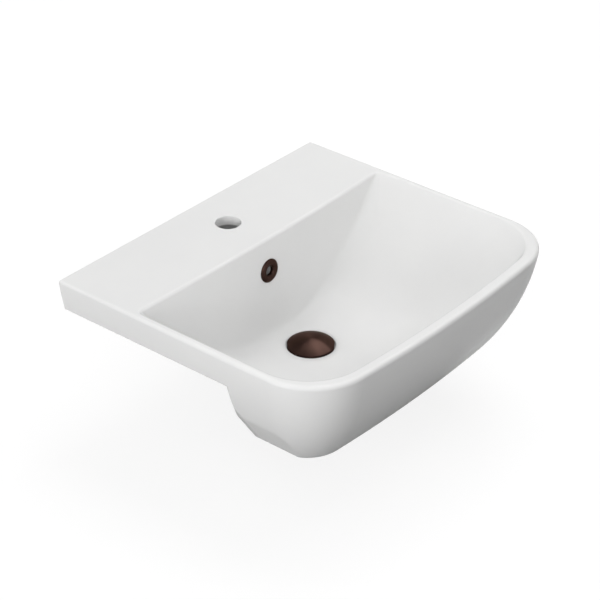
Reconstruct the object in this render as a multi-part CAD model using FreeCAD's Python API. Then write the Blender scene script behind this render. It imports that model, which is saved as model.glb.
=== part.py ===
import FreeCAD, Part
import math
import os
from FreeCAD import Placement, Rotation, Vector

# Semi recessed basin, 500 mm wide, with a slotted push-button waste and an overflow ring.
# Frame, in millimetres: X runs across the basin with 0 on its centre plane, Y = 0 is the back
# face against the wall and the front is at negative Y, Z = 0 is the worktop under the skirt.

# ---------------------------------------------------------------- ceramic body, outside
body_width = 500.0            # widest, just under the rounded rim
body_depth = 440.0            # wall to the middle of the bowed front
skirt_height = 45.0           # worktop to rim
skirt_depth = 278.5           # how much of the basin stands on the worktop
front_drop = 106.0            # how far the front hangs below the worktop
flank_radius = 290.0          # side and front profile, an arc that is upright above the rim
flank_upright = 32.0          # height above the rim where that arc would be upright
front_corner_radius = 84.0    # plan radius of the front corners at the rim
corner_tightening = 0.55      # the corner radius shrinks by this share of the flank's inset
front_bow_radius = 2150.0     # plan radius of the front
outer_rim_rounding = 5.0
back_corner_rounding = 3.0
belly_rounding = 12.0         # lower edge of the hanging front
side_fullness = 0.9           # the sides lean in by this share of what the front does
facet_top_z = -53.0           # the lower sides are trimmed flat from here down
facet_lean = 34.2             # degrees from upright

# ---------------------------------------------------------------- bowl
bowl_side_rim = 9.5           # rim width at the sides
bowl_front_rim = 15.8         # rim width at the front
ledge_depth = 135.0           # wall to the bowl at the middle of the tap ledge
ledge_bow_radius = 5500.0     # plan radius of the ledge's front edge, which swells into the bowl
bowl_depth = 134.0            # rim to the floor at the drain
bowl_corner_radius = 80.0     # front corners at the rim
bowl_back_radius = 6.0        # back corners at the rim
bowl_side_power = 3.3         # fullness of the side and front walls
bowl_back_power = 12.0        # the back wall is nearly upright
bowl_back_softening = 44.0    # growth of the back corner radius towards the floor
inner_rim_rounding = 4.0
bowl_floor_share = 0.16       # the flat floor's share of the bowl's size
bowl_wall = 11.0
bowl_floor_wall = 13.0

# ---------------------------------------------------------------- underside
ledge_thickness = 13.5
skirt_wall = 12.0
pocket_corner_radius = 8.0
rib_width = 60.0              # rib behind and under the bowl that carries the overflow duct
duct_width = 38.0
duct_depth = 12.0
duct_wall = 9.0
duct_headroom = 4.0           # duct above the overflow hole
rib_corner_radius = 18.0
web_spacing = 70.0            # clear width for the tap's nut between two webs beside the tap hole
web_thickness = 9.0
web_foot_z = 3.0              # the webs end this high above the worktop

# ---------------------------------------------------------------- holes
tap_hole_radius = 17.5
tap_hole_from_wall = 66.5
drain_from_wall = 209.5
drain_hole_radius = 22.5
drain_boss_radius = 37.0
drain_boss_height = 29.5      # seat of the waste to the underside of the boss
drain_seat_radius = 33.5
drain_seat_depth = 3.5
overflow_below_rim = 47.0
overflow_hole_radius = 11.0

# ---------------------------------------------------------------- overflow ring and sleeve
ring_radius = 16.6
ring_bore_radius = 6.6
ring_thickness = 3.4
ring_wall_gap = 0.15
ring_spigot_length = 3.0
ring_spigot_gap = 0.3
ring_edge_height = 0.8
sleeve_length = 13.0
sleeve_radius = 9.4
sleeve_wall = 1.4
sleeve_barb = 1.0
sleeve_barb_slope = 2.0       # length of the barb's lead-in
sleeve_collar = 3.0           # unslit length behind the ring
sleeve_slot_width = 4.5
sleeve_slot_count = 4

# ---------------------------------------------------------------- waste
flange_radius = 31.5
flange_thickness = 2.0
flange_seal_thickness = 1.5
flange_seat_radius = 21.0     # mouth of the conical seat in the flange
flange_seat_depth = 3.0
barrel_radius = 20.6
bore_radius = 17.5
thread_radius = 20.95         # outside of the G 1 1/4 thread
tail_radius = 20.6            # plain end that enters the trap
tail_length = 25.0
waste_length = 86.0           # top of the flange to the end of the tail
slot_width = 15.0
slot_count = 4
slot_inset = 0.5              # the slots stand this much inside the overflow duct
hub_radius = 8.0
hub_height = 7.0
hub_bar_width = 5.0
hub_below_flange = 43.0       # top of the flange to the top of the hub
fit_gap = 0.05                # threads and other close fits
loose_gap = 0.3

washer_radius = 30.0
washer_thickness = 5.0
washer_nose_height = 3.0
slip_washer_thickness = 1.5
nut_across_flats = 54.0
nut_height = 11.0
nut_flange_thickness = 2.5
nut_chamfer = 3.0
washer_nose_taper = 0.4

# ---------------------------------------------------------------- plug and push-button latch
plug_travel = 8.0
plug_radius = 31.5
plug_edge_height = 2.0
plug_dome_height = 9.0
plug_edge_chamfer = 0.5
plug_lip_width = 3.0
plug_boss_radius = 6.5
plug_boss_height = 6.3
plug_lift = 0.3               # gap under the plug when it is shut
plug_seal_radius = 26.5
plug_seal_inner_radius = 22.0
plug_seal_taper = 1.0
rod_radius = 3.5
lock_nut_across_flats = 12.0
lock_nut_height = 3.5
rod_socket_depth = 0.8        # above the plate's underside, inside the dome
rod_socket_gap = 0.2
latch_radius = 9.0
latch_bore_radius = 6.6
latch_top_wall = 2.5
latch_floor_wall = 3.0
latch_nut_gap = 1.2
latch_hex_across_flats = 16.0
latch_hex_height = 5.0
stud_radius = 4.0
stud_length = 10.0
collar_radius = 6.2
collar_height = 1.8
collar_headroom = 0.5         # above the collar when the plug is up
cam_height = 5.0
cam_tooth_depth = 1.6
cam_tooth_count = 6
cam_tooth_width = 3.2
cam_gap = 0.2
rod_tip_length = 2.0
spring_wire_radius = 0.55
spring_turns = 5.0
spring_end_gap = 0.1

# ---------------------------------------------------------------- levels and places worked out
rim_z = skirt_height
bowl_width = body_width - 2 * bowl_side_rim
floor_z = rim_z - bowl_depth
seat_z = floor_z - drain_seat_depth
boss_bottom_z = seat_z - drain_boss_height
duct_bottom_z = boss_bottom_z + duct_wall
duct_top_z = duct_bottom_z + duct_depth
overflow_z = rim_z - overflow_below_rim
front_of_skirt_y = -skirt_depth
drain_y = -drain_from_wall
flange_bottom_z = seat_z + flange_seal_thickness
flange_top_z = flange_bottom_z + flange_thickness
tail_end_z = flange_top_z - waste_length
washer_bottom_z = boss_bottom_z - washer_thickness
slip_washer_bottom_z = washer_bottom_z - slip_washer_thickness
nut_bottom_z = slip_washer_bottom_z - nut_height
hub_top_z = flange_top_z - hub_below_flange
hub_bottom_z = hub_top_z - hub_height
plug_bottom_z = flange_top_z + plug_lift
plug_plate_z = plug_bottom_z + plug_edge_height
boss_end_z = plug_plate_z - plug_boss_height
lock_nut_bottom_z = boss_end_z - lock_nut_height
latch_top_z = lock_nut_bottom_z - latch_nut_gap
latch_room_top_z = latch_top_z - latch_top_wall
latch_room_floor_z = hub_top_z + latch_floor_wall
collar_top_z = latch_room_top_z - collar_headroom - plug_travel
collar_bottom_z = collar_top_z - collar_height
cam_bottom_z = collar_bottom_z - cam_gap - cam_height
far = 1000.0                  # reach of cutting tools
slack = 0.5                   # for picking edges by their place
overlap = 0.1                 # between shapes that are joined into one


def save(shape, node):
    shape.exportStep("parts/" + node + ".step")


def box(x0, x1, y0, y1, z0, z1):
    return Part.makeBox(x1 - x0, y1 - y0, z1 - z0, Vector(x0, y0, z0))


def cylinder(radius, z0, z1, x=0.0, y=0.0):
    return Part.makeCylinder(radius, z1 - z0, Vector(x, y, z0))


def revolved(points, y=drain_y):
    """Turn a closed outline of (radius, z) points about the upright axis at y."""
    corners = [Vector(r, 0, z) for r, z in points]
    face = Part.Face(Part.makePolygon(corners + corners[:1]))
    solid = face.revolve(Vector(0, 0, 0), Vector(0, 0, 1), 360)
    solid.translate(Vector(0, y, 0))
    return solid


def hexagon(across_flats, z0, z1, y=drain_y):
    reach = across_flats / math.sqrt(3.0)
    turns = [math.radians(60 * k) for k in range(7)]
    wire = Part.makePolygon([Vector(reach * math.cos(t), y + reach * math.sin(t), z0) for t in turns])
    return Part.Face(wire).extrude(Vector(0, 0, z1 - z0))


def arc_about(centre, radius, angle0, angle1):
    def at(angle):
        return centre + Vector(math.cos(angle), math.sin(angle), 0) * radius
    return Part.Arc(at(angle0), at((angle0 + angle1) / 2), at(angle1)).toShape()


def plan_outline(z, half_width, y_back, y_front, back_radius, front_radius, back_bow_radius=None):
    """Closed outline with straight sides, a bowed front and a straight or forward-bowed back."""
    right, left = 1, -1
    front_bow = Vector(0, y_front + front_bow_radius, z)
    reach = front_bow_radius - front_radius
    front = Vector(half_width - front_radius, 0, z)
    front.y = front_bow.y - math.sqrt(reach ** 2 - front.x ** 2)
    front_lean = math.atan2(front.y - front_bow.y, front.x)
    corner = Vector(half_width - back_radius, y_back - back_radius, z)
    if back_bow_radius:
        back_bow = Vector(0, y_back + back_bow_radius, z)
        corner.y = back_bow.y - math.sqrt((back_bow_radius + back_radius) ** 2 - corner.x ** 2)
        back_lean = math.atan2(corner.y - back_bow.y, corner.x)
        back = arc_about(back_bow, back_bow_radius, -math.pi - back_lean, back_lean)
        corner_end = math.pi + back_lean
    else:
        back = Part.makeLine(Vector(-corner.x, y_back, z), Vector(corner.x, y_back, z))
        corner_end = math.pi / 2

    def side(way):
        return Part.makeLine(Vector(way * half_width, corner.y, z), Vector(way * half_width, front.y, z))

    def mirrored(centre):
        return Vector(-centre.x, centre.y, z)

    half_turn = math.pi
    return Part.Wire([
        back,
        arc_about(corner, back_radius, corner_end, 0),
        side(right),
        arc_about(front, front_radius, 0, front_lean),
        arc_about(front_bow, front_bow_radius, front_lean, -half_turn - front_lean),
        arc_about(mirrored(front), front_radius, -half_turn - front_lean, -half_turn),
        side(left),
        arc_about(mirrored(corner), back_radius, half_turn, half_turn - corner_end),
    ])


def flank_inset(z):
    """How far the side and front stand inside the widest line at height z."""
    widest = math.asin((flank_upright + outer_rim_rounding) / flank_radius)
    turn = math.asin((rim_z + flank_upright - z) / flank_radius)
    return flank_radius * (math.cos(widest) - math.cos(turn))


def side_facet(way):
    """What lies outside the flat that trims one lower side."""
    start = Vector(body_width / 2 - side_fullness * flank_inset(facet_top_z), 0, facet_top_z)
    lean = math.radians(facet_lean)
    along = Vector(math.sin(lean), 0, math.cos(lean)) * (front_drop + skirt_height)
    low = start - along
    high = start + along
    corners = [high, low, Vector(far, 0, low.z), Vector(far, 0, high.z)]
    corners = [Vector(way * p.x, -far, p.z) for p in corners]
    return Part.Face(Part.makePolygon(corners + corners[:1])).extrude(Vector(0, 2 * far, 0))


def outer_form():
    """The outside as if it reached the belly all the way back; its back end overshoots the wall."""
    overshoot = 60.0
    levels = 7
    wires = []
    for k in range(levels):
        z = rim_z - (rim_z + front_drop) * k / (levels - 1)
        inset = flank_inset(z)
        radius = front_corner_radius - corner_tightening * inset
        wires.append(plan_outline(z, body_width / 2 - side_fullness * inset, overshoot,
                                  inset - body_depth, overshoot / 2, radius))
    form = Part.makeLoft(wires, True, False)
    form = form.cut([side_facet(1), side_facet(-1)])
    belly = [e for e in form.Edges if e.BoundBox.ZMax < slack - front_drop]
    form = form.makeFillet(belly_rounding, belly)
    form = form.cut(box(-far, far, 0, far, -far, far))
    return form.cut(box(-far, far, front_of_skirt_y, far, -far, 0))


def bowl_back_y(z, depth=bowl_depth, grow=0.0):
    """The bowl's back wall at height z, on the centre plane."""
    below = (rim_z - z) / depth
    share = max(1.0 - below, 0.0) ** (1.0 / bowl_back_power)
    return drain_y + (drain_from_wall - ledge_depth + grow) * share


# the overflow duct runs down one bowl wall behind the overflow hole
duct_back_y = bowl_back_y(overflow_z) + bowl_wall + duct_depth


def bowl_form(grow=0.0, floor_grow=0.0):
    """The bowl's inside, or with grow the outside of its wall, from the rim to the flat floor."""
    depth = bowl_depth + floor_grow
    half = bowl_width / 2
    reach = body_depth - bowl_front_rim - drain_from_wall
    shares = [1.0, 0.975, 0.93, 0.86, 0.76, 0.63, 0.47, 0.31, bowl_floor_share]
    wires = []
    for share in shares:
        z = rim_z - depth * (1.0 - share ** bowl_side_power)
        below = (rim_z - z) / depth
        half_width = half * share + grow
        y_back = bowl_back_y(z, depth, grow)
        y_front = drain_y - reach * share - grow
        span = min(half_width, (y_back - y_front) / 2)
        back_radius = min(bowl_back_radius + bowl_back_softening * below, 0.8 * span)
        front_radius = min(bowl_corner_radius, 0.8 * span)
        wires.append(plan_outline(z, half_width, y_back, y_front, back_radius, front_radius,
                                  ledge_bow_radius))
    return Part.makeLoft(wires, True, False)


def rounded(shape, radius_at):
    """Fillet the edges for which radius_at(box, point) gives a radius at both of their ends."""
    work = FreeCAD.newDocument()
    base = work.addObject("Part::Feature", "Base")
    base.Shape = shape
    picked = []
    for number, edge in enumerate(shape.Edges, 1):
        radii = [radius_at(edge.BoundBox, vertex.Point) for vertex in edge.Vertexes]
        if all(radii):
            picked.append((number, radii[0], radii[-1]))
    fillet = work.addObject("Part::Fillet", "Fillet")
    fillet.Base = base
    fillet.Edges = picked
    work.recompute()
    result = fillet.Shape.copy()
    FreeCAD.closeDocument(work.Name)
    return result


def on_bowl_rim(b):
    """True for an edge of the rim's flat top that borders the bowl."""
    half = bowl_width / 2 + slack
    front = bowl_front_rim - body_depth - slack
    return -half < b.XMin and b.XMax < half and front < b.YMin and b.YMax < -ledge_depth / 2


def outer_radius_at(b, point):
    upright = b.YMin > -slack and b.ZLength > skirt_height / 2
    if upright:
        return back_corner_rounding
    if b.ZMin < rim_z - slack or on_bowl_rim(b):
        return 0
    return back_corner_rounding if point.y > -slack else outer_rim_rounding


def inner_radius_at(b, point):
    on_top = b.ZMin > rim_z - slack
    return inner_rim_rounding if on_top and on_bowl_rim(b) else 0


def duct_profile(shrink):
    """Upright and level limbs of the overflow rib, or of the duct inside it, as an L seen from +X."""
    back = duct_back_y + duct_wall - shrink
    front = back - duct_depth - 2 * duct_wall + 2 * shrink
    low = boss_bottom_z + shrink
    high = low + duct_depth + 2 * duct_wall - 2 * shrink
    if shrink:
        top = overflow_z + overflow_hole_radius + duct_headroom
    else:
        top = rim_z - ledge_thickness + overlap
    return [(back, top), (front, top), (front, high), (drain_y, high), (drain_y, low), (back, low)]


def duct_solid(width, shrink):
    corners = [Vector(-width / 2, y, z) for y, z in duct_profile(shrink)]
    solid = Part.Face(Part.makePolygon(corners + corners[:1])).extrude(Vector(width, 0, 0))
    low = boss_bottom_z + shrink
    heel = [e for e in solid.Edges if e.BoundBox.XLength > width - slack
            and e.BoundBox.ZMax < low + slack and e.BoundBox.YMin > duct_back_y - duct_depth]
    return solid.makeFillet(rib_corner_radius - shrink, heel)


def tap_web(way):
    """Upright web beside the tap hole, from the bowl's back wall to the skirt's back."""
    near = way * web_spacing / 2
    out = way * (web_spacing / 2 + web_thickness)
    return box(min(near, out), max(near, out), -ledge_depth, -skirt_wall / 2,
               web_foot_z, rim_z - ledge_thickness + overlap)


def basin_body():
    bowl = bowl_form()
    body = outer_form().cut(bowl)
    body = rounded(body, outer_radius_at)
    body = rounded(body, inner_radius_at)
    # what carries the bowl behind the step: its own wall, the drain boss, the overflow rib
    # and the webs that stiffen the ledge beside the tap hole
    below_ledge = box(-far, far, -far, 0, -far, rim_z - ledge_thickness)
    shell = bowl_form(bowl_wall, bowl_floor_wall).common(below_ledge)
    boss = cylinder(drain_boss_radius, boss_bottom_z, floor_z, 0, drain_y)
    shell = shell.fuse([boss, duct_solid(rib_width, 0.0), tap_web(1), tap_web(-1)])
    half = body_width / 2 - side_fullness * flank_inset(0) - skirt_wall
    pocket = box(-half, half, -ledge_depth - bowl_wall, -skirt_wall, -overlap, rim_z - ledge_thickness)
    upright = [e for e in pocket.Edges if e.BoundBox.ZLength > skirt_height / 2]
    pocket = pocket.makeFillet(pocket_corner_radius, upright)
    body = body.cut(pocket).fuse(shell.cut(bowl))
    cuts = [
        cylinder(tap_hole_radius, 0, far, 0, -tap_hole_from_wall),
        cylinder(drain_seat_radius, seat_z, floor_z + drain_seat_depth, 0, drain_y),
        cylinder(drain_hole_radius, -far, floor_z, 0, drain_y),
        duct_solid(duct_width, duct_wall),
        overflow_tool(overflow_hole_radius, -bowl_wall - duct_depth / 2, bowl_wall),
    ]
    return body.cut(cuts).removeSplitter()


# ---------------------------------------------------------------- overflow ring on the back wall
def overflow_place():
    """Local +Z points out of the wall into the bowl, from the wall's surface at the overflow."""
    step = 5.0
    rise = bowl_back_y(overflow_z + step) - bowl_back_y(overflow_z - step)
    lean = math.degrees(math.atan2(rise, 2 * step))
    wall_y = bowl_back_y(overflow_z)
    return Placement(Vector(0, wall_y, overflow_z), Rotation(Vector(1, 0, 0), 90 - lean))


def overflow_tool(radius, low, high):
    tool = Part.makeCylinder(radius, high - low, Vector(0, 0, low))
    tool.Placement = overflow_place()
    return tool


def overflow_ring():
    spigot = overflow_hole_radius - ring_spigot_gap
    edge_z = ring_wall_gap + ring_edge_height
    profile = [(ring_bore_radius, edge_z), (ring_bore_radius, -ring_spigot_length),
               (spigot, -ring_spigot_length), (spigot, ring_wall_gap), (ring_radius, ring_wall_gap),
               (ring_radius, edge_z)]
    corners = [Vector(r, 0, z) for r, z in profile]
    crest = Vector((ring_radius + ring_bore_radius) / 2, 0, ring_thickness)
    edges = [Part.makeLine(a, b) for a, b in zip(corners, corners[1:])]
    edges.append(Part.Arc(corners[-1], crest, corners[0]).toShape())
    ring = Part.Face(Part.Wire(edges)).revolve(Vector(0, 0, 0), Vector(0, 0, 1), 360)
    ring.Placement = overflow_place()
    return ring


def overflow_sleeve():
    """Push-in sleeve behind the ring, split into spring fingers with a barb at their ends."""
    top = -ring_spigot_length
    end = top - sleeve_length
    inner = sleeve_radius - sleeve_wall
    barb_radius = sleeve_radius + sleeve_barb
    barb_z = end + sleeve_barb_slope
    sleeve = revolved([(inner, top), (sleeve_radius, top), (sleeve_radius, barb_z + sleeve_barb),
                       (barb_radius, barb_z), (sleeve_radius, end), (inner, end)], 0)
    for k in range(sleeve_slot_count):
        half_slot = sleeve_slot_width / 2
        slot = box(0, 2 * sleeve_radius, -half_slot, half_slot, end - slack, top - sleeve_collar)
        slot.rotate(Vector(0, 0, 0), Vector(0, 0, 1), 45 + 360.0 * k / sleeve_slot_count)
        sleeve = sleeve.cut(slot)
    sleeve.Placement = overflow_place()
    return sleeve


# ---------------------------------------------------------------- waste, under and around the drain hole
def waste_body():
    edge = flange_thickness / 3
    profile = [
        (flange_seat_radius, flange_top_z), (flange_radius - edge, flange_top_z),
        (flange_radius, flange_top_z - edge), (flange_radius, flange_bottom_z),
        (barrel_radius, flange_bottom_z), (barrel_radius, boss_bottom_z + washer_nose_height),
        (thread_radius, boss_bottom_z + washer_nose_height), (thread_radius, tail_end_z + tail_length),
        (tail_radius, tail_end_z + tail_length), (tail_radius, tail_end_z),
        (bore_radius, tail_end_z), (bore_radius, flange_top_z - flange_seat_depth),
    ]
    body = revolved(profile)
    hub = cylinder(hub_radius, hub_bottom_z, hub_top_z, 0, drain_y)
    reach = (bore_radius + barrel_radius) / 2
    half_bar = hub_bar_width / 2
    bars = [box(-reach, reach, drain_y - half_bar, drain_y + half_bar, hub_bottom_z, hub_top_z),
            box(-half_bar, half_bar, drain_y - reach, drain_y + reach, hub_bottom_z, hub_top_z)]
    body = body.fuse([hub] + bars)
    cuts = [cylinder(stud_radius + fit_gap, -far, 0, 0, drain_y)]
    low = duct_bottom_z + slot_inset
    high = duct_top_z - slot_inset
    for k in range(slot_count):
        window = box(hub_radius, 2 * barrel_radius, -slot_width / 2, slot_width / 2, low, high)
        window.rotate(Vector(0, 0, 0), Vector(0, 0, 1), 90 + 360.0 * k / slot_count)
        window.translate(Vector(0, drain_y, 0))
        cuts.append(window)
    return body.cut(cuts).removeSplitter()


def flange_seal():
    return revolved([(drain_hole_radius + loose_gap, seat_z), (flange_radius, seat_z),
                     (flange_radius, flange_bottom_z), (drain_hole_radius + loose_gap, flange_bottom_z)])


def lower_washer():
    """Rubber washer whose nose stands in the drain hole."""
    inner = thread_radius + loose_gap
    nose = drain_hole_radius - loose_gap
    nose_z = boss_bottom_z + washer_nose_height
    return revolved([(inner, nose_z), (nose - washer_nose_taper, nose_z),
                     (nose, boss_bottom_z), (washer_radius, boss_bottom_z),
                     (washer_radius, washer_bottom_z), (inner, washer_bottom_z)])


def slip_washer():
    inner = thread_radius + loose_gap
    return revolved([(inner, washer_bottom_z), (washer_radius, washer_bottom_z),
                     (washer_radius, slip_washer_bottom_z), (inner, slip_washer_bottom_z)])


def backnut():
    top = slip_washer_bottom_z
    flange = cylinder(washer_radius, top - nut_flange_thickness, top, 0, drain_y)
    nut = hexagon(nut_across_flats, nut_bottom_z, top).fuse(flange)
    corner = nut_across_flats / math.sqrt(3.0)
    trim = revolved([(0, top), (corner, top), (corner, nut_bottom_z + nut_chamfer),
                     (corner - nut_chamfer, nut_bottom_z), (0, nut_bottom_z)])
    nut = nut.common(trim)
    return nut.cut(cylinder(thread_radius + fit_gap, -far, 0, 0, drain_y)).removeSplitter()


# ---------------------------------------------------------------- plug, drawn shut
def plug_cap():
    rim = Vector(plug_radius, 0, plug_plate_z)
    crown = Vector(0, 0, plug_plate_z + plug_dome_height)
    dome_radius = (plug_radius ** 2 + plug_dome_height ** 2) / (2 * plug_dome_height)
    half = math.asin(plug_radius / dome_radius) / 2
    shoulder = Vector(dome_radius * math.sin(half), 0, crown.z - dome_radius * (1 - math.cos(half)))
    inner = plug_radius - plug_lip_width
    corners = [crown, Vector(0, 0, plug_plate_z), Vector(inner, 0, plug_plate_z),
               Vector(inner, 0, plug_bottom_z), Vector(plug_radius - plug_edge_chamfer, 0, plug_bottom_z),
               Vector(plug_radius, 0, plug_bottom_z + plug_edge_chamfer), rim]
    edges = [Part.makeLine(a, b) for a, b in zip(corners, corners[1:])]
    edges.append(Part.Arc(rim, shoulder, crown).toShape())
    cap = Part.Face(Part.Wire(edges)).revolve(Vector(0, 0, 0), Vector(0, 0, 1), 360)
    cap.translate(Vector(0, drain_y, 0))
    boss = cylinder(plug_boss_radius, boss_end_z, plug_plate_z + overlap, 0, drain_y)
    socket_top_z = plug_plate_z + rod_socket_depth + rod_socket_gap
    socket = cylinder(rod_radius + fit_gap, boss_end_z, socket_top_z, 0, drain_y)
    return cap.fuse(boss).cut(socket).removeSplitter()


def plug_seal():
    return revolved([(plug_seal_inner_radius, plug_plate_z), (plug_seal_radius, plug_plate_z),
                     (plug_seal_radius - plug_seal_taper, plug_bottom_z),
                     (plug_seal_inner_radius + plug_seal_taper, plug_bottom_z)])


def plug_rod():
    low = cam_bottom_z - rod_tip_length
    top = plug_plate_z + rod_socket_depth
    return revolved([(0, low), (rod_radius, low), (rod_radius, collar_bottom_z),
                     (collar_radius, collar_bottom_z), (collar_radius, collar_top_z),
                     (rod_radius, collar_top_z), (rod_radius, top), (0, top)])


def plug_lock_nut():
    nut = hexagon(lock_nut_across_flats, lock_nut_bottom_z, boss_end_z)
    return nut.cut(cylinder(rod_radius + fit_gap, -far, 0, 0, drain_y))


def latch_cam():
    """Ratchet ring that turns a notch at each push; its teeth face the collar above it."""
    top = collar_bottom_z - cam_gap
    cam = cylinder(collar_radius, cam_bottom_z, top, 0, drain_y)
    cam = cam.cut(cylinder(rod_radius + fit_gap, -far, 0, 0, drain_y))
    half = cam_tooth_width / 2
    over = top + overlap
    for k in range(cam_tooth_count):
        notch = Part.makePolygon([Vector(0, -half, over), Vector(0, half, over),
                                  Vector(0, half, top - cam_tooth_depth), Vector(0, -half, over)])
        notch = Part.Face(notch).extrude(Vector(2 * collar_radius, 0, 0))
        notch.rotate(Vector(0, 0, 0), Vector(0, 0, 1), 360.0 * k / cam_tooth_count)
        notch.translate(Vector(0, drain_y, 0))
        cam = cam.cut(notch)
    return cam


def latch_housing():
    hub = hexagon(latch_hex_across_flats, hub_top_z, hub_top_z + latch_hex_height)
    body = cylinder(latch_radius, hub_top_z, latch_top_z, 0, drain_y).fuse(hub)
    stud = cylinder(stud_radius, hub_top_z - stud_length, hub_top_z, 0, drain_y)
    room = cylinder(latch_bore_radius, latch_room_floor_z, latch_room_top_z, 0, drain_y)
    neck = cylinder(rod_radius + fit_gap, latch_room_top_z, latch_top_z, 0, drain_y)
    return body.fuse(stud).cut([room, neck]).removeSplitter()


def latch_spring():
    """Compression spring that lifts the plug, one unbroken wire."""
    low = latch_room_floor_z + spring_end_gap + spring_wire_radius
    high = cam_bottom_z - spring_end_gap - spring_wire_radius
    coil_radius = (rod_radius + latch_bore_radius) / 2
    pitch = (high - low) / spring_turns
    path = Part.makeHelix(pitch, high - low, coil_radius)
    start = Vector(coil_radius, 0, 0)
    climb = Vector(0, 1, pitch / (2 * math.pi * coil_radius))
    circle = Part.Wire(Part.makeCircle(spring_wire_radius, start, climb))
    spring = Part.Wire(path.Edges).makePipeShell([circle], True, True)
    spring.translate(Vector(0, drain_y, low))
    print("spring gap between turns", round(pitch - 2 * spring_wire_radius, 2))
    return spring


makers = {
    "basin_body": basin_body,
    "overflow_ring": overflow_ring,
    "overflow_sleeve": overflow_sleeve,
    "waste_body": waste_body,
    "flange_seal": flange_seal,
    "lower_washer": lower_washer,
    "slip_washer": slip_washer,
    "backnut": backnut,
    "plug_cap": plug_cap,
    "plug_seal": plug_seal,
    "plug_rod": plug_rod,
    "plug_lock_nut": plug_lock_nut,
    "latch_cam": latch_cam,
    "latch_housing": latch_housing,
    "latch_spring": latch_spring,
}
os.makedirs("parts", exist_ok=True)
for node, maker in makers.items():
    shape = maker()
    save(shape, node)
    b = shape.BoundBox
    print(node, len(shape.Solids), "solid", shape.isValid(), round(shape.Volume),
          [round(v, 1) for v in (b.XMin, b.XMax, b.YMin, b.YMax, b.ZMin, b.ZMax)])
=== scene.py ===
import math

import bpy
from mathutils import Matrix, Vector


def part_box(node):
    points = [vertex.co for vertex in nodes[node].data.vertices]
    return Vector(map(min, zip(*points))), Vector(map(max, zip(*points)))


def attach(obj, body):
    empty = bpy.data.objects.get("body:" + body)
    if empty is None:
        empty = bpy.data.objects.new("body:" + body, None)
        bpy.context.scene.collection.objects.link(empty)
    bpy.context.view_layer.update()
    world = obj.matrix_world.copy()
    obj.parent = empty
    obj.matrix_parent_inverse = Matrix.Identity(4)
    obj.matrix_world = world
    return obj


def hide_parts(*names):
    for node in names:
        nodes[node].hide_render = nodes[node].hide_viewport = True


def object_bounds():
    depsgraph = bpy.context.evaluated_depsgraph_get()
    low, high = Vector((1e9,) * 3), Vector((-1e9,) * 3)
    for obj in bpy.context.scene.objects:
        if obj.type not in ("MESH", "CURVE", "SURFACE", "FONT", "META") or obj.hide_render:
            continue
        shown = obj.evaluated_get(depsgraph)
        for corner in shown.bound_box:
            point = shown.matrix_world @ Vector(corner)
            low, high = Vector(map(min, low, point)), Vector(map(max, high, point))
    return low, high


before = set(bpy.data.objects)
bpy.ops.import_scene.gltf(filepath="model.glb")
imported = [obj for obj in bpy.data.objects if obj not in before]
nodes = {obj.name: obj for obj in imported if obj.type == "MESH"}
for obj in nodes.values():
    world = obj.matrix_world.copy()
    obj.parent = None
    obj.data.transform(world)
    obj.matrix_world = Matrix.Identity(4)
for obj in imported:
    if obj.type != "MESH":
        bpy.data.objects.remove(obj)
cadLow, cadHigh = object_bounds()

# Semi recessed basin in a plain light studio. Units are metres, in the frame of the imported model:
# X across the basin, Y towards the wall, Z up from the worktop.

mm = 0.001


def linear(hexColour):
    parts = [int(hexColour[k:k + 2], 16) / 255 for k in (1, 3, 5)]
    rgb = [c / 12.92 if c <= 0.04045 else ((c + 0.055) / 1.055) ** 2.4 for c in parts]
    return (*rgb, 1.0)


def addNode(tree, kind, settings=None, values=None, links=None):
    made = tree.nodes.new(kind)
    for name, value in (settings or {}).items():
        setattr(made, name, value)
    for socket, value in (values or {}).items():
        made.inputs[socket].default_value = value
    for socket, source in (links or {}).items():
        tree.links.new(source, made.inputs[socket])
    return made


def newMaterial(name):
    material = bpy.data.materials.new(name)
    material.use_nodes = True
    tree = material.node_tree
    tree.nodes.clear()
    return material, tree


def pointAlong(thing, direction):
    thing.rotation_mode = "QUATERNION"
    thing.rotation_quaternion = direction.to_track_quat("-Z", "Y")


camera = {
    "position": (-1.82863, -1.72023, 1.43915),
    "azimuth": -50.093,          # degrees round the basin, from its front
    "elevation": 31.586,
    "lens": 127.923,             # millimetres, as the sensor is
    "sensorWidth": 36,
    "clipStart": 0.1,
    "clipEnd": 50,
}


def makeCamera():
    data = bpy.data.cameras.new("studioCamera")
    data.sensor_width = camera["sensorWidth"]
    data.lens = camera["lens"]
    data.clip_start = camera["clipStart"]
    data.clip_end = camera["clipEnd"]
    cam = bpy.data.objects.new("studioCamera", data)
    bpy.context.scene.collection.objects.link(cam)
    turn, rise = math.radians(camera["azimuth"]), math.radians(camera["elevation"])
    level = math.cos(rise)
    back = Vector((math.sin(turn) * level, -math.cos(turn) * level, math.sin(rise)))
    cam.location = camera["position"]
    pointAlong(cam, -back)
    bpy.context.scene.camera = cam


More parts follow.
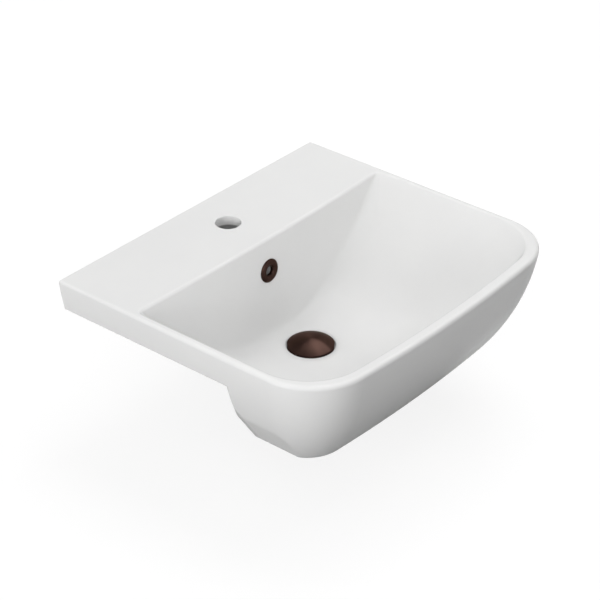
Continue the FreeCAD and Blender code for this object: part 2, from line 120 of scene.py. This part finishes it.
studio = {
    "white": (1, 1, 1, 1),
    "floorColour": "#FBFBFB",
    "floorSize": 16.0,
    "floorGap": 1 * mm,          # under the waste's tail
    "floorGlow": 0.8,            # share of plain white that the camera sees, for a faint shadow
    "floorWhite": 1.05,
    "bounceColour": "#5A5A5A",   # what the floor throws back on the basin's underside
    "horizonLight": 0.2,         # what lights the basin
    "zenithLight": 0.2,
    "horizonShown": 1.0,         # what the camera and reflections see, where 1 is white
    "zenithShown": 0.35,
    "horizonTop": 0.05,          # heights on the sky, 0 level and 1 straight up
    "zenithStart": 0.75,
    "aim": (0, -0.22, -0.02),    # the basin's middle, which every lamp faces
    "lampSize": 2.4,
    "lamps": [                   # powers in watts
        {"name": "topRightPanel", "place": (1.6, -0.22, 2.77), "power": 43},
        {"name": "backRightPanel", "place": (1.41, 0.96, 2.62), "power": 30},
        {"name": "leftWindow", "place": (-3.19, -0.22, 0.22), "power": 94},
        {"name": "leftFrontPanel", "place": (-1.96, -2.18, 1.6), "power": 28},
        {"name": "frontPanel", "place": (0.0, -3.41, 0.28), "power": 18},
    ],
}


def seenRays(tree):
    # 1 for rays that show the background: those of the camera, and reflected or refracted ones
    path = addNode(tree, "ShaderNodeLightPath")
    mirrored = addNode(tree, "ShaderNodeMath", {"operation": "MAXIMUM"},
                       links={0: path.outputs["Is Glossy Ray"],
                              1: path.outputs["Is Transmission Ray"]})
    seen = addNode(tree, "ShaderNodeMath", {"operation": "MAXIMUM"},
                   links={0: path.outputs["Is Camera Ray"], 1: mirrored.outputs[0]})
    return seen.outputs[0]


# Painted floor: nearly white to the camera, pale in reflections, darker where it throws light back.
def makeFloor():
    level = cadLow.z - studio["floorGap"]
    half = studio["floorSize"] / 2
    corners = [(x * half, y * half, level) for x, y in ((-1, -1), (1, -1), (1, 1), (-1, 1))]
    mesh = bpy.data.meshes.new("floor")
    mesh.from_pydata(corners, [], [(0, 1, 2, 3)])
    floor = bpy.data.objects.new("floor", mesh)
    bpy.context.scene.collection.objects.link(floor)
    material, tree = newMaterial("paintedFloor")
    path = addNode(tree, "ShaderNodeLightPath")
    glow = addNode(tree, "ShaderNodeEmission",
                   values={"Color": studio["white"], "Strength": studio["floorWhite"]})
    paint = addNode(tree, "ShaderNodeBsdfDiffuse", values={"Color": linear(studio["floorColour"])})
    shown = addNode(tree, "ShaderNodeMixShader", values={0: studio["floorGlow"]},
                    links={1: paint.outputs[0], 2: glow.outputs[0]})
    bounce = addNode(tree, "ShaderNodeBsdfDiffuse",
                     values={"Color": linear(studio["bounceColour"])})
    mirrored = addNode(tree, "ShaderNodeMixShader",
                       links={0: seenRays(tree), 1: bounce.outputs[0], 2: paint.outputs[0]})
    above = addNode(tree, "ShaderNodeMixShader",
                    links={0: path.outputs["Is Camera Ray"],
                           1: mirrored.outputs[0], 2: shown.outputs[0]})
    # clear from below, so that the underside can be looked at
    side = addNode(tree, "ShaderNodeNewGeometry")
    clear = addNode(tree, "ShaderNodeBsdfTransparent")
    sided = addNode(tree, "ShaderNodeMixShader",
                    links={0: side.outputs["Backfacing"], 1: above.outputs[0], 2: clear.outputs[0]})
    addNode(tree, "ShaderNodeOutputMaterial", links={"Surface": sided.outputs[0]})
    mesh.materials.append(material)


def makeSky():
    world = bpy.data.worlds.new("studioWorld")
    bpy.context.scene.world = world
    world.use_nodes = True
    tree = world.node_tree
    tree.nodes.clear()
    direction = addNode(tree, "ShaderNodeTexCoord")
    split = addNode(tree, "ShaderNodeSeparateXYZ", links={0: direction.outputs["Generated"]})
    skies = []
    for horizon, zenith in (("horizonLight", "zenithLight"), ("horizonShown", "zenithShown")):
        ramp = addNode(tree, "ShaderNodeMapRange", {"interpolation_type": "SMOOTHSTEP"},
                       {"From Min": studio["horizonTop"], "From Max": studio["zenithStart"],
                        "To Min": studio[horizon], "To Max": studio[zenith]},
                       {"Value": split.outputs["Z"]})
        skies.append(addNode(tree, "ShaderNodeBackground", values={"Color": studio["white"]},
                             links={"Strength": ramp.outputs[0]}))
    mix = addNode(tree, "ShaderNodeMixShader",
                  links={0: seenRays(tree), 1: skies[0].outputs[0], 2: skies[1].outputs[0]})
    addNode(tree, "ShaderNodeOutputWorld", links={"Surface": mix.outputs[0]})


def makeLamps():
    for lamp in studio["lamps"]:
        data = bpy.data.lights.new(lamp["name"], "AREA")
        data.shape = "SQUARE"
        data.size = studio["lampSize"]
        data.energy = lamp["power"]
        light = bpy.data.objects.new(lamp["name"], data)
        bpy.context.scene.collection.objects.link(light)
        light.location = lamp["place"]
        pointAlong(light, Vector(studio["aim"]) - Vector(lamp["place"]))


# Vitreous china, slip cast, dipped in glaze and fired. The glaze is a thin clear gloss over a
# dense white body, with a faint waviness; the faces that touch wall and worktop stay unglazed.
ceramic = {
    "glazeColour": "#EFEFEE",
    "shadeColour": "#E9E9E9",    # the glaze varies by this little
    "bodyColour": "#E3DCCF",     # bare fired body
    "glazeRoughness": 0.24,
    "glazeGloss": 0.15,          # specular level, low so that the wide lamps leave no streaks
    "bodyRoughness": 0.75,
    "ior": 1.5,
    "cloudSize": 90 * mm,
    "cloudDetail": 2,
    "waveSize": 14 * mm,
    "waveDetail": 1,
    "waveHeight": 0.03 * mm,
    "grainSize": 1.6 * mm,       # real grain is finer, drawn coarse enough to show
    "grainDetail": 4,
    "grainHeight": 0.06 * mm,
    "edgeRound": 2.0 * mm,       # glaze rounds every edge a little
    "footRound": 15.0 * mm,      # and the low trimmed sides more
    "footTop": -38 * mm,         # heights between which one rounding turns into the other
    "footFull": -50 * mm,
    "roundSamples": 8,
    "bareBand": 0.7 * mm,        # how close to a bedding face counts as bare
    "wallY": 0.0,                # bedding face against the wall
    "worktopZ": 0.0,             # bedding face on the worktop
    "stepY": -278.5 * mm,        # front end of the bedding face on the worktop
    "downward": -0.9,            # a normal below this faces the worktop
}


def bareChina(tree, place, spot):
    # 1 on the wall face, and on what faces down at the worktop's height behind the step
    band = ceramic["bareBand"]
    wall = addNode(tree, "ShaderNodeMath", {"operation": "GREATER_THAN"},
                   {1: ceramic["wallY"] - band}, {0: spot.outputs["Y"]})
    under = addNode(tree, "ShaderNodeMath", {"operation": "COMPARE"},
                    {1: ceramic["worktopZ"], 2: band}, {0: spot.outputs["Z"]})
    behind = addNode(tree, "ShaderNodeMath", {"operation": "GREATER_THAN"},
                     {1: ceramic["stepY"] - band}, {0: spot.outputs["Y"]})
    facing = addNode(tree, "ShaderNodeSeparateXYZ", links={0: place.outputs["Normal"]})
    down = addNode(tree, "ShaderNodeMath", {"operation": "LESS_THAN"},
                   {1: ceramic["downward"]}, {0: facing.outputs["Z"]})
    level = addNode(tree, "ShaderNodeMath", {"operation": "MULTIPLY"},
                    links={0: under.outputs[0], 1: behind.outputs[0]})
    foot = addNode(tree, "ShaderNodeMath", {"operation": "MULTIPLY"},
                   links={0: level.outputs[0], 1: down.outputs[0]})
    bare = addNode(tree, "ShaderNodeMath", {"operation": "MAXIMUM"},
                   links={0: wall.outputs[0], 1: foot.outputs[0]})
    return bare.outputs[0]


def makeGlazedChina():
    material, tree = newMaterial("glazedVitreousChina")
    place = addNode(tree, "ShaderNodeTexCoord")
    at = {"Vector": place.outputs["Object"]}
    spot = addNode(tree, "ShaderNodeSeparateXYZ", links={0: place.outputs["Object"]})
    clouds = addNode(tree, "ShaderNodeTexNoise", links=at,
                     values={"Scale": 1 / ceramic["cloudSize"], "Detail": ceramic["cloudDetail"]})
    tint = addNode(tree, "ShaderNodeMix", {"data_type": "RGBA"},
                   {6: linear(ceramic["shadeColour"]), 7: linear(ceramic["glazeColour"])},
                   {0: clouds.outputs[0]})
    waves = addNode(tree, "ShaderNodeTexNoise", links=at,
                    values={"Scale": 1 / ceramic["waveSize"], "Detail": ceramic["waveDetail"]})
    rounding = addNode(tree, "ShaderNodeMapRange", {"interpolation_type": "SMOOTHSTEP"},
                       {"From Min": ceramic["footFull"], "From Max": ceramic["footTop"],
                        "To Min": ceramic["footRound"], "To Max": ceramic["edgeRound"]},
                       {"Value": spot.outputs["Z"]})
    soft = addNode(tree, "ShaderNodeBevel", {"samples": ceramic["roundSamples"]},
                   links={"Radius": rounding.outputs[0]})
    ripple = addNode(tree, "ShaderNodeBump",
                     values={"Strength": 1.0, "Distance": ceramic["waveHeight"]},
                     links={"Height": waves.outputs[0], "Normal": soft.outputs[0]})
    glaze = addNode(tree, "ShaderNodeBsdfPrincipled",
                    values={"Roughness": ceramic["glazeRoughness"], "IOR": ceramic["ior"],
                            "Specular IOR Level": ceramic["glazeGloss"]},
                    links={"Base Color": tint.outputs[2], "Normal": ripple.outputs[0]})
    grain = addNode(tree, "ShaderNodeTexNoise", links=at,
                    values={"Scale": 1 / ceramic["grainSize"], "Detail": ceramic["grainDetail"]})
    pits = addNode(tree, "ShaderNodeBump",
                   values={"Strength": 1.0, "Distance": ceramic["grainHeight"]},
                   links={"Height": grain.outputs[0]})
    bisque = addNode(tree, "ShaderNodeBsdfPrincipled",
                     values={"Base Color": linear(ceramic["bodyColour"]),
                             "Roughness": ceramic["bodyRoughness"], "IOR": ceramic["ior"]},
                     links={"Normal": pits.outputs[0]})
    bare = bareChina(tree, place, spot)
    mix = addNode(tree, "ShaderNodeMixShader",
                  links={0: bare, 1: glaze.outputs[0], 2: bisque.outputs[0]})
    addNode(tree, "ShaderNodeOutputMaterial", links={"Surface": mix.outputs[0]})
    return material


# Brass turned on a lathe, coated dark bronze and brushed in circles: fine rings round the axis
# stretch each highlight into a fan that points to the middle.
bronze = {
    "lightColour": "#4B3933",
    "darkColour": "#332420",
    "edgeColour": "#D6CAC6",     # at a low angle of view
    "roughness": 0.28,
    "anisotropy": 0.97,
    "lineSize": 0.5 * mm,        # real brush lines are about 0.1 mm, drawn coarse enough to show
    "lineHeight": 0.01 * mm,
}
# Yellow brass bar, turned and left bare: warm, with faint tool marks.
brass = {
    "lightColour": "#D8B878",
    "darkColour": "#C09A58",
    "edgeColour": "#FFF4DC",
    "roughness": 0.28,
    "anisotropy": 0.4,
    "lineSize": 0.6 * mm,
    "lineHeight": 0.012 * mm,
}
# Stainless spring wire, drawn: bright grey with lines along the wire.
springWire = {
    "lightColour": "#C4C6C8",
    "darkColour": "#9FA1A4",
    "edgeColour": "#FFFFFF",
    "roughness": 0.3,
    "anisotropy": 0.3,
    "lineSize": 0.5 * mm,
    "lineHeight": 0.005 * mm,
}
highlightTurn = 0.25             # of a turn: highlights stretch across the rings, not along them
lineDetail = 2


def makeTurnedMetal(name, look, centre, axis):
    material, tree = newMaterial(name)
    place = addNode(tree, "ShaderNodeTexCoord")
    offset = addNode(tree, "ShaderNodeVectorMath", {"operation": "SUBTRACT"}, {1: centre},
                     {0: place.outputs["Object"]})
    flat = tuple(0.0 if k == axis else 1.0 for k in "XYZ")
    across = addNode(tree, "ShaderNodeVectorMath", {"operation": "MULTIPLY"}, {1: flat},
                     {0: offset.outputs[0]})
    radius = addNode(tree, "ShaderNodeVectorMath", {"operation": "LENGTH"},
                     links={0: across.outputs[0]})
    rings = addNode(tree, "ShaderNodeTexNoise", {"noise_dimensions": "1D"},
                    {"Scale": 1 / look["lineSize"], "Detail": lineDetail},
                    {"W": radius.outputs["Value"]})
    tint = addNode(tree, "ShaderNodeMix", {"data_type": "RGBA"},
                   {6: linear(look["darkColour"]), 7: linear(look["lightColour"])},
                   {0: rings.outputs[0]})
    lines = addNode(tree, "ShaderNodeBump",
                    values={"Strength": 1.0, "Distance": look["lineHeight"]},
                    links={"Height": rings.outputs[0]})
    tangent = addNode(tree, "ShaderNodeTangent", {"direction_type": "RADIAL", "axis": axis})
    metal = addNode(tree, "ShaderNodeBsdfPrincipled",
                    values={"Metallic": 1.0, "Roughness": look["roughness"],
                            "Anisotropic": look["anisotropy"],
                            "Anisotropic Rotation": highlightTurn,
                            "Specular Tint": linear(look["edgeColour"])},
                    links={"Base Color": tint.outputs[2], "Normal": lines.outputs[0],
                           "Tangent": tangent.outputs[0]})
    addNode(tree, "ShaderNodeOutputMaterial", links={"Surface": metal.outputs[0]})
    return material


# EPDM rubber, moulded: matt black with a faint skin.
rubber = {
    "colour": "#1C1C1D",
    "paleColour": "#262627",
    "roughness": 0.62,
    "grain": 0.9 * mm,
    "height": 0.02 * mm,
}
# Acetal, injection moulded: milky white, half gloss.
acetal = {
    "colour": "#E4E3DE",
    "paleColour": "#EFEEEA",
    "roughness": 0.38,
    "grain": 3 * mm,
    "height": 0.01 * mm,
}
# Pale grey nylon, injection moulded: half gloss.
nylon = {
    "colour": "#D4D5D4",
    "paleColour": "#DFE0DE",
    "roughness": 0.3,
    "grain": 3 * mm,
    "height": 0.01 * mm,
}
mouldedIor = 1.5
skinDetail = 3


def makeMoulded(name, look):
    material, tree = newMaterial(name)
    place = addNode(tree, "ShaderNodeTexCoord")
    skin = addNode(tree, "ShaderNodeTexNoise",
                   values={"Scale": 1 / look["grain"], "Detail": skinDetail},
                   links={"Vector": place.outputs["Object"]})
    tint = addNode(tree, "ShaderNodeMix", {"data_type": "RGBA"},
                   {6: linear(look["colour"]), 7: linear(look["paleColour"])},
                   {0: skin.outputs[0]})
    bump = addNode(tree, "ShaderNodeBump", values={"Strength": 1.0, "Distance": look["height"]},
                   links={"Height": skin.outputs[0]})
    solid = addNode(tree, "ShaderNodeBsdfPrincipled",
                    values={"Roughness": look["roughness"], "IOR": mouldedIor},
                    links={"Base Color": tint.outputs[2], "Normal": bump.outputs[0]})
    addNode(tree, "ShaderNodeOutputMaterial", links={"Surface": solid.outputs[0]})
    return material


# The waste's outside thread, G 1 1/4, which the CAD keeps as a plain sleeve between these heights.
wasteThread = {
    "low": -150 * mm,
    "high": -119 * mm,
    "radius": 20.95 * mm,
    "pitch": 2.309 * mm,
    "depth": 1.48 * mm,
    "rowsPerTurn": 8,
    "radiusSlack": 0.03 * mm,    # how near the sleeve a point counts as on it
    "heightSlack": 0.01 * mm,
    "weldDigits": 6,             # points that agree to a micrometre are one
    "creaseAngle": 35,           # degrees from which an edge stays sharp
}


def weld(mesh):
    # the CAD mesh is split at its edges: this gives one point for each place
    points, found, welded = [], {}, []
    for vertex in mesh.vertices:
        key = tuple(round(c, wasteThread["weldDigits"]) for c in vertex.co)
        if key not in found:
            found[key] = len(points)
            points.append(tuple(vertex.co))
        welded.append(found[key])
    faces = [[welded[k] for k in polygon.vertices] for polygon in mesh.polygons]
    return points, [corners for corners in faces if len(set(corners)) > 2]


def cutWasteThread(drain):
    low, high, crest = wasteThread["low"], wasteThread["high"], wasteThread["radius"]
    pitch, slack = wasteThread["pitch"], wasteThread["heightSlack"]
    points, faces = weld(nodes["waste_body"].data)

    def onSleeve(k):
        x, y, z = points[k]
        off = abs(math.hypot(x - drain[0], y - drain[1]) - crest)
        return off < wasteThread["radiusSlack"] and low - slack < z < high + slack

    def bearing(k):
        return math.atan2(points[k][1] - drain[1], points[k][0] - drain[0])

    def rimAt(height):
        rim = [k for k in range(len(points)) if onSleeve(k) and abs(points[k][2] - height) < slack]
        return sorted(rim, key=bearing)

    faces = [corners for corners in faces if not all(onSleeve(k) for k in corners)]
    lowRim, highRim = rimAt(low), rimAt(high)
    count = len(lowRim)
    rows = round((high - low) / pitch * wasteThread["rowsPerTurn"])
    rings = [lowRim]
    for row in range(1, rows):
        z = low + (high - low) * row / rows
        fade = min(1, (z - low) / pitch, (high - z) / pitch)     # a turn long at each end
        ring = []
        for k in lowRim:
            angle = bearing(k)
            cut = 0.5 - 0.5 * math.cos(math.tau * z / pitch - angle)
            radius = crest - wasteThread["depth"] * fade * cut
            points.append((drain[0] + radius * math.cos(angle),
                           drain[1] + radius * math.sin(angle), z))
            ring.append(len(points) - 1)
        rings.append(ring)
    rings.append(highRim)
    for lower, upper in zip(rings, rings[1:]):
        for k in range(count):
            after = (k + 1) % count
            faces.append([lower[k], lower[after], upper[after], upper[k]])
    mesh = bpy.data.meshes.new("threadedWaste")
    mesh.from_pydata(points, [], faces)
    mesh.validate()
    mesh.shade_smooth()
    mesh.set_sharp_from_angle(angle=math.radians(wasteThread["creaseAngle"]))
    waste = bpy.data.objects.new("threadedWaste", mesh)
    bpy.context.scene.collection.objects.link(waste)
    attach(waste, "basin")
    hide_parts("waste_body")
    print("waste thread cut,", count, "sides,", rows, "rows, rims match:", len(highRim) == count)
    return waste


def dress(names, material):
    for name in names:
        data = nodes[name].data
        data.materials.clear()
        data.materials.append(material)


def makeLooks():
    low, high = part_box("plug_cap")
    drain = ((low.x + high.x) / 2, (low.y + high.y) / 2, 0.0)
    low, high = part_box("overflow_ring")
    ringCentre = ((low.x + high.x) / 2, 0.0, (low.z + high.z) / 2)
    dress(["basin_body"], makeGlazedChina())
    bronzeWaste = makeTurnedMetal("brushedBronzeWaste", bronze, drain, "Z")
    dress(["plug_cap", "waste_body"], bronzeWaste)
    cutWasteThread(drain).data.materials.append(bronzeWaste)
    dress(["overflow_ring"], makeTurnedMetal("brushedBronzeRing", bronze, ringCentre, "Y"))
    dress(["backnut", "plug_rod", "plug_lock_nut", "latch_housing"],
          makeTurnedMetal("turnedBrass", brass, drain, "Z"))
    dress(["latch_spring"], makeTurnedMetal("drawnSpringWire", springWire, drain, "Z"))
    dress(["flange_seal", "lower_washer", "plug_seal"], makeMoulded("mouldedRubber", rubber))
    dress(["slip_washer", "latch_cam"], makeMoulded("mouldedAcetal", acetal))
    dress(["overflow_sleeve"], makeMoulded("mouldedNylon", nylon))


bpy.context.scene.view_settings.view_transform = "Standard"
makeCamera()
print("camera set")
makeFloor()
print("floor set")
makeSky()
print("sky set")
makeLamps()
print("lamps set")
makeLooks()
print("materials set")
